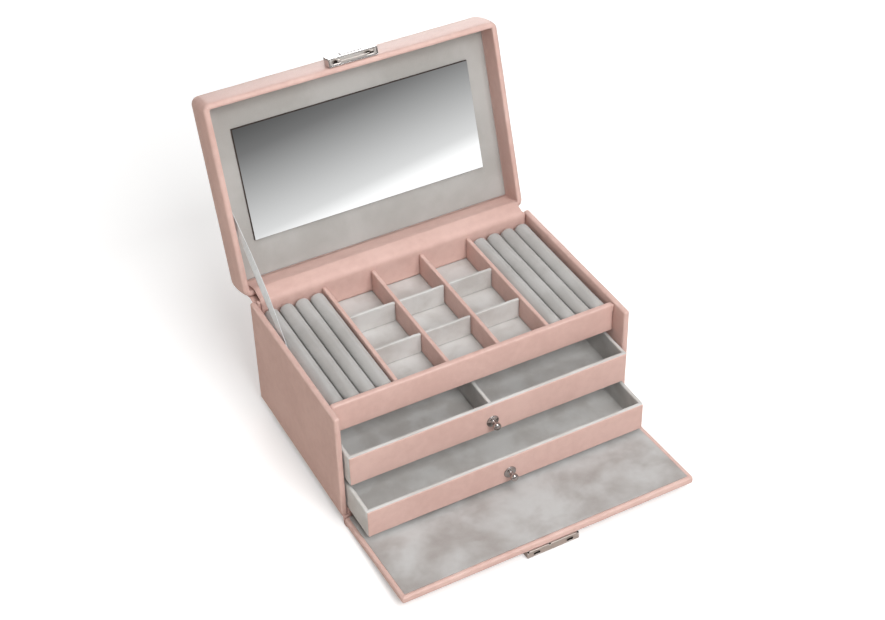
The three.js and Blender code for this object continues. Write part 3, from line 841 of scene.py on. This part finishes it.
def knob_profile(length, flange, ball):
    """A flat flange, a slim waisted neck and a ball end."""
    neck = 0.48 * ball
    outline = [(0.5 * flange, 0), (flange * 0.96, 0), (flange, 0.15 * MM), (flange, 0.5 * MM),
               (flange * 0.93, 0.85 * MM), (flange * 0.6, 1.15 * MM), (neck * 1.5, 1.5 * MM),
               (neck * 1.12, 2.2 * MM), (neck, 3.0 * MM), (neck * 1.1, 3.7 * MM)]
    centre = length - ball
    for a in np.radians(np.linspace(30, 176, 14)):
        outline.append((ball * math.sin(a), centre - ball * math.cos(a) * (0.96 if a > 1.6 else 1)))
    return outline


NICKEL = plated("Nickel", srgb(186, 178, 175), 0.1)
for name in ("upper_drawer", "lower_drawer"):
    front_low, front_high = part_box(name + "_front")
    back_low, back_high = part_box(name + "_back")
    inner_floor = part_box(name + "_floor")[1].z
    side_t = back_high.y - back_low.y
    leather_t = 0.8 * MM
    box_low = (front_low.x, front_low.y + leather_t, front_low.z)
    box_high = (front_high.x, back_high.y, front_high.z)
    z0, z1, r = box_low[2], box_high[2], 1.1 * MM
    middle = (box_high[1] - box_low[1]) / 2 - 1 * MM
    profile = [(middle, z0), (8 * MM, z0), (r, z0)]
    profile += arc_points((r, z0 + r), r, -90, -180, 5)[1:]
    profile += [(0, z) for z in np.linspace(z0 + 4 * MM, z1 - 4 * MM, 5)]
    profile += arc_points((r, z1 - r), r, 180, 90, 6)
    profile += arc_points((side_t - r, z1 - r), r, 90, 0, 6)
    profile += [(side_t, z) for z in np.linspace(z1 - 4 * MM, inner_floor + 2 * MM, 5)]
    profile += arc_points((side_t + 0.6 * MM, inner_floor + 0.6 * MM), 0.6 * MM, 180, 270, 4)
    profile += [(inset, inner_floor) for inset in np.linspace(side_t + 3 * MM, middle, 14)]
    box = swept_tray(name + "_box", box_low, box_high, profile, 1.4 * MM, CAVITY_LIT_VELOUR, Matrix.Identity(4),
                     (50, 26), None, 0.12 * MM)
    settle(box, name, "grey_velour",
           name + "_back", name + "_left_wall", name + "_right_wall", name + "_floor")

    inset = 0.7 * MM
    panel_low = (front_low.x + inset, front_low.y, front_low.z + 0.1 * MM)
    panel_high = (front_high.x - inset, front_low.y + leather_t + 0.3 * MM, front_high.z - 0.9 * MM)
    panel = wrapped_board(name + "_leather_front", panel_low, panel_high, PINK, 0.38 * MM,
                          step=4 * MM, wander=0.12 * MM)
    settle(panel, name, "pink_leather", name + "_front")

    knob_low, knob_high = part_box(name + "_knob")
    centre = (knob_low + knob_high) / 2
    outline = knob_profile(front_low.y - knob_low.y, (knob_high.x - knob_low.x) / 2, 3.4 * MM)
    knob = turned(name + "_turned_knob", outline, (centre.x, front_low.y, centre.z), (0, -1, 0),
                  NICKEL, 48)
    settle(knob, name, "chrome", name + "_knob")
cover("upper_drawer_divider", CAVITY_LIT_VELOUR, "upper_drawer", "grey_velour", 1.2 * MM,
      step=4 * MM, wander=0.15 * MM)

# ---------------------------------------------------------------------------------------------
# Flap: a board wrapped in leather, lined with a velour panel inside a narrow leather border
# that is mitred at its corners. Its spine of bare leather is its hinge.
# ---------------------------------------------------------------------------------------------
flap_joint = next(j for j in frame["joints"] if j["name"] == "flap_hinge")
flap_tilt = math.radians(90 - flap_joint["range_deg"][1])
flap_frame = Matrix.Translation(flap_joint["pos_m"]) @ Matrix.Rotation(-flap_tilt, 4, "X")
board_low, board_high = box_in("flap_board", flap_frame)
velour_low, velour_high = box_in("flap_lining", flap_frame)
border = velour_low.x - board_low.x
under, top = board_low.z, velour_high.z
r = 1.7 * MM
middle = (board_high.y - board_low.y) / 2 - 1 * MM
profile = [(inset, under - 0.25 * MM) for inset in np.linspace(middle, 10 * MM, 10)]
profile += [(5 * MM, under - 0.15 * MM)]
profile += arc_points((r, under + r), r, -90, -180, 6)
profile += [(-0.1 * MM, (under + top) / 2)]
profile += arc_points((r, top - 0.1 * MM - r), r, 180, 90, 7)
profile += [(border * 0.7, top - 0.08 * MM), (border - 0.35 * MM, top - 0.25 * MM),
            (border, top - 0.6 * MM), (border + 0.4 * MM, board_high.z),
            (border + 3 * MM, board_high.z), (middle, board_high.z)]
flap_top = top - 0.5 * MM
flap_board = swept_tray("flap_leather", board_low, board_high, profile, 2.2 * MM, PINK, flap_frame,
                        (52, 22), lambda k: 0.4 * MM if profile[k][1] > flap_top else 0.0, 0.12 * MM)
settle(flap_board, "flap", "pink_leather", "flap_board")

BRUSHED = velour("Brushed velour", srgb(194, 194, 193), srgb(153, 146, 142), srgb(202, 202, 201), 26.0)
flap_velour = wrapped_board("flap_velour_panel", velour_low, velour_high, BRUSHED, 0.4 * MM,
                            step=4 * MM, swell=0.15 * MM, wander=0.12 * MM)
flap_velour.data.transform(flap_frame)
settle(flap_velour, "flap", "grey_velour", "flap_lining")

spine_low, spine_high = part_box("flap_hinge_strip")
base_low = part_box("base_board")[0]


def in_flap(u, v):
    """(y, z) of a point u in front of the flap's hinge line and v above its inner face."""
    p = flap_frame @ Vector((0, -u, v))
    return p.y, p.z


spine_end = in_flap(-0.2 * MM, under + 0.4 * MM)
spine_path = [(base_low.y + 8 * MM, base_low.z - 0.5 * MM), (base_low.y + 2 * MM, base_low.z - 0.5 * MM),
              (base_low.y + 0.3 * MM, base_low.z - 1.1 * MM), in_flap(-0.35 * MM, -3.2 * MM),
              spine_end, in_flap(0.8 * MM, under - 0.35 * MM), in_flap(4 * MM, under - 0.42 * MM)]
spine = soft_strip("flap_spine_leather", spine_path, spine_low.x, spine_high.x, 0.6 * MM, PINK,
                   0.05 * MM, 0.8 * MM)
bend_between(spine, "flap_hinge_strip")

# ---------------------------------------------------------------------------------------------
# Clasp: a plated pressed case on the lid with a push button in its face, a slotted closing
# plate, and two hooks on one bar. Its strike plate is a slotted box under the flap's edge.
# ---------------------------------------------------------------------------------------------
STEEL = plated("Brushed steel", srgb(222, 216, 211), 0.34)
# Painted shade: the cutting blocks carry this dark steel, and the slot walls they cut take it, standing
# in for the shade inside the slots.
SLOT_SHADE = plated("Steel painted as slot shade", srgb(58, 50, 47), 0.5)


def cut_out(target, tools):
    """Cuts the tools out of target and removes them."""
    for tool in tools:
        cut = target.modifiers.new("cut", "BOOLEAN")
        cut.operation, cut.object, cut.solver = "DIFFERENCE", tool, "EXACT"
        cut.material_mode = "TRANSFER"
    graph = bpy.context.evaluated_depsgraph_get()
    made = bpy.data.meshes.new_from_object(target.evaluated_get(graph))
    target.modifiers.clear()
    target.data = made
    for tool in tools:
        bpy.data.objects.remove(tool)


def metal_block(name, low, high, material, edge, step=3 * MM):
    """A small block with rounded edges, of metal or to cut metal with."""
    return wrapped_board(name, low, high, material, edge, step=step)


def alike_blocks(name, half_x, low_yz, high_yz, centres, edge):
    """Blocks to cut with, all alike, one round each centre in x."""
    return [metal_block(name, (x - half_x, *low_yz), (x + half_x, *high_yz), SLOT_SHADE, edge) for x in centres]


case_low, case_high = box_in("clasp_housing", lid_frame)
push_low, push_high = box_in("release_button", lid_frame)
t = 1.1 * MM
r = 0.6 * MM
z0, z1 = case_low.z, case_high.z
profile = [(2.6 * MM, z1 - t), (t, z1 - t), (t, z0 + 0.3 * MM)]
profile += arc_points((t / 2, z0 + t / 2), t / 2, 0, -180, 7)
profile += [(0, z0 + 3 * MM)] + arc_points((r, z1 - r), r, 180, 90, 5) + [(2 * MM, z1), (2.8 * MM, z1)]
clasp = swept_tray("clasp_case", case_low, case_high, profile, 0.9 * MM, CHROME, lid_frame, (12, 3))
gap = 0.25 * MM
hole = metal_block("button_hole", (push_low.x - gap, case_low.y - 1 * MM, push_low.z - gap),
                   (push_high.x + gap, case_low.y + 2 * t, push_high.z + gap), CHROME, 0.5 * MM)
hole.data.transform(lid_frame)
cut_out(clasp, [hole])
settle(clasp, "lid", "chrome", "clasp_housing")

button = metal_block("push_button", push_low, push_high, CHROME, 0.6 * MM, step=2 * MM)
button.data.transform(lid_frame)
settle(button, "release_button", "chrome", "release_button")

hook_x = (-14.6 * MM, 14.6 * MM)
shrink = t + 0.1 * MM
plate_low = (case_low.x + shrink, case_low.y + shrink, case_low.z + 0.5 * MM)
plate_high = (case_high.x - shrink, case_high.y - shrink, case_low.z + 1.0 * MM)
plate = metal_block("clasp_plate", plate_low, plate_high, STEEL, 0.12 * MM)
slots = alike_blocks("hook_slot", 3.4 * MM, (plate_low[1] + 1.2 * MM, plate_low[2] - 1 * MM),
                     (plate_high[1] - 1.2 * MM, plate_low[2] + 0.4 * MM), hook_x, 0.5 * MM)
cut_out(plate, slots)
plate.data.transform(lid_frame)
settle(plate, "lid", "chrome")

rod_z = case_low.z + 0.05 * MM
rod_y = (plate_low[1] + plate_high[1]) / 2
rod_path = [Vector((x * MM, rod_y + 0.5 * MM * math.cos(math.pi * x / 28), rod_z))
            for x in np.linspace(-14, 14, 15)]
curve = bpy.data.curves.new("hook_rod", "CURVE")
curve.dimensions, curve.bevel_depth, curve.bevel_resolution = "3D", 0.42 * MM, 4
line = curve.splines.new("POLY")
line.points.add(len(rod_path) - 1)
for point, place in zip(line.points, rod_path):
    point.co = (*(lid_frame @ place), 1)
curve.materials.append(STEEL)
rod = bpy.data.objects.new("hook_rod", curve)
bpy.context.scene.collection.objects.link(rod)
settle(rod, "hook_bar", "spring_steel")
hook_low, hook_curl = box_in("hook_bar", lid_frame)[0].z, 3.9 * MM
bar_points = [lid_frame.inverted() @ v.co for v in frame["nodes"]["hook_bar"].data.vertices]
tips = [q.y for q in bar_points if q.z < case_low.z - 1 * MM]
hook_y = (min(tips) + max(tips)) / 2
for i, x in enumerate(hook_x, 1):
    claw = metal_block(f"hook_{i}", (x - 0.9 * MM, hook_y - 0.6 * MM, hook_low),
                       (x + 1.1 * MM, hook_y + 0.6 * MM, rod_z + 0.4 * MM), STEEL, 0.5 * MM, step=1 * MM)
    for v in claw.data.vertices:
        share = (rod_z - v.co.z) / (rod_z - hook_low)
        v.co.x += hook_curl * max(0.0, share - 0.45) ** 2
    claw.data.transform(lid_frame)
    settle(claw, "hook_bar", "spring_steel", *(["hook_bar"] if i == 1 else []))
frame["nodes"]["hook_spring"].data.materials.clear()
frame["nodes"]["hook_spring"].data.materials.append(STEEL)

strike_low, strike_high = box_in("strike_plate", flap_frame)
slot_v = under - 4 * MM
strike = metal_block("strike_box", strike_low, strike_high, STEEL, 0.45 * MM)
tools = alike_blocks("strike_slot", 2.75 * MM, (strike_low.y - 1 * MM, slot_v - 1.1 * MM),
                     (strike_low.y + 4.5 * MM, slot_v + 1.1 * MM), hook_x, 0.5 * MM)
notches = (strike_low.x + 0.8 * MM, -3 * MM, strike_high.x - 0.8 * MM)
tools += alike_blocks("strike_notch", 0.6 * MM, (strike_low.y - 1 * MM, strike_high.z - 0.9 * MM),
                      (strike_low.y + 1.2 * MM, strike_high.z + 1 * MM), notches, 0.1 * MM)
cut_out(strike, tools)
strike.data.transform(flap_frame)
settle(strike, "flap", "chrome", "strike_plate")

# ---------------------------------------------------------------------------------------------
# The stage: a pale floor that fades to white away from the chest, a bright sky, four soft
# lights and the camera. Floor and sky are brighter to the lens than to the chest.
# ---------------------------------------------------------------------------------------------
PAINTED, tree, paint = blank_material("Pale floor")
set_inputs(paint, {"Roughness": 0.8, "Specular IOR Level": 0.1, "Emission Color": (1, 1, 1, 1)})
ray = add_node(tree, "ShaderNodeLightPath")
to_cloth, to_metal, to_lens = (0.66, 0.63, 0.6, 1), (0.44, 0.38, 0.35, 1), (0.9, 0.9, 0.9, 1)
seen = mix_colours(tree, ray.outputs["Is Glossy Ray"], to_cloth, to_metal)
seen = mix_colours(tree, ray.outputs["Is Camera Ray"], seen, to_lens)
tree.links.new(seen, paint.inputs["Base Color"])
far = add_node(tree, "ShaderNodeVectorMath", operation="LENGTH")
tree.links.new(add_node(tree, "ShaderNodeTexCoord").outputs["Object"], far.inputs[0])
lift = combine(tree, "ADD", smooth_step(tree, far.outputs["Value"], 0.6, 2.5), 0.27)
lift = combine(tree, "MULTIPLY", ray.outputs["Is Camera Ray"], lift)
tree.links.new(lift, paint.inputs["Emission Strength"])


def stage_sheet(name, corners, material):
    """A four-cornered sheet of the stage."""
    sheet = make_piece(name, corners, [(0, 1, 2, 3)], material)
    return sheet


half_floor = 6
stage_sheet("studio_floor", [(-half_floor, -half_floor, 0), (half_floor, -half_floor, 0),
                             (half_floor, half_floor, 0), (-half_floor, half_floor, 0)], PAINTED)

world = bpy.data.worlds.new("Studio")
bpy.context.scene.world = world
world.use_nodes = True
tree = world.node_tree
background = tree.nodes["Background"]
background.inputs["Color"].default_value = (1, 1, 1, 1)
ray = add_node(tree, "ShaderNodeLightPath")
sky = combine(tree, "MULTIPLY_ADD", ray.outputs["Is Camera Ray"], 0.7, 0.3)
tree.links.new(sky, background.inputs["Strength"])


def soft_box(name, place, aim, width, power):
    """A square soft light."""
    light = bpy.data.lights.new(name, "AREA")
    light.size, light.energy = width, power
    lamp = bpy.data.objects.new(name, light)
    bpy.context.scene.collection.objects.link(lamp)
    lamp.location = place
    lamp.rotation_mode = "QUATERNION"
    lamp.rotation_quaternion = (Vector(aim) - Vector(place)).to_track_quat("-Z", "Y")
    return lamp


soft_box("top_light", (0.15, -0.4, 2.1), (0, 0, 0.1), 0.9, 10)
soft_box("front_light", (0.12, -1.7, 1.7), (0, 0, 0.08), 1.3, 44)
side_light = soft_box("side_light", (-1.6, 0.25, 0.4), (-0.1, 0, 0.08), 0.9, 4.4)
side_light.data.color = (1.0, 0.93, 0.82)
soft_box("back_light", (0.85, 1.9, 0.45), (0, 0.1, 0.25), 1.0, 14)

# A graded card that only reflections show: white at its foot, dark a quarter of the way up
# and paler again towards its top, a little aslant.
card_material = bpy.data.materials.new("Graded card")
card_material.use_nodes = True
tree = card_material.node_tree
tree.nodes.remove(tree.nodes["Principled BSDF"])
glow = add_node(tree, "ShaderNodeEmission", {"Strength": 1.15})
place = add_node(tree, "ShaderNodeTexCoord")
split = add_node(tree, "ShaderNodeSeparateXYZ")
tree.links.new(place.outputs["Object"], split.inputs["Vector"])
aslant = combine(tree, "MULTIPLY", split.outputs["X"], 0.135)
slope = combine(tree, "SUBTRACT", split.outputs["Z"], aslant)
ramp = add_node(tree, "ShaderNodeValToRGB")
greys = ((0.0, 254), (0.038, 252), (0.064, 212), (0.13, 173), (0.2, 113), (0.25, 78), (0.6, 145),
         (1.0, 225))
for at, grey in greys[1:-1]:
    ramp.color_ramp.elements.new(at)
for stop, (at, grey) in zip(ramp.color_ramp.elements, greys):
    stop.position, stop.color = at, srgb(grey, grey, grey)
tree.links.new(combine(tree, "MULTIPLY", slope, 1 / 0.8), ramp.inputs["Fac"])
tree.links.new(ramp.outputs["Color"], glow.inputs["Color"])
tree.links.new(glow.outputs["Emission"], tree.nodes["Material Output"].inputs["Surface"])
left, right, card_y, card_top = -1.2, 1.6, -0.75, 0.9
card = stage_sheet("graded_card", [(left, card_y, 0), (right, card_y, 0), (right, card_y, card_top),
                                   (left, card_y, card_top)], card_material)
card.visible_camera = card.visible_diffuse = card.visible_shadow = False

eye = Vector((-0.4726, -0.9219, 0.9589))
aim = Vector((0.0391, 0.0776, 0.0412))
camera = bpy.data.objects.new("camera", bpy.data.cameras.new("camera"))
bpy.context.scene.collection.objects.link(camera)
camera.location = eye
camera.rotation_mode = "QUATERNION"
roll = Quaternion((0, 0, 1), math.radians(-1.55))
camera.rotation_quaternion = (aim - eye).to_track_quat("-Z", "Y") @ roll
camera.data.sensor_width = 36
camera.data.lens = 68.41
bpy.context.scene.camera = camera
bpy.context.scene.view_settings.view_transform = "Standard"
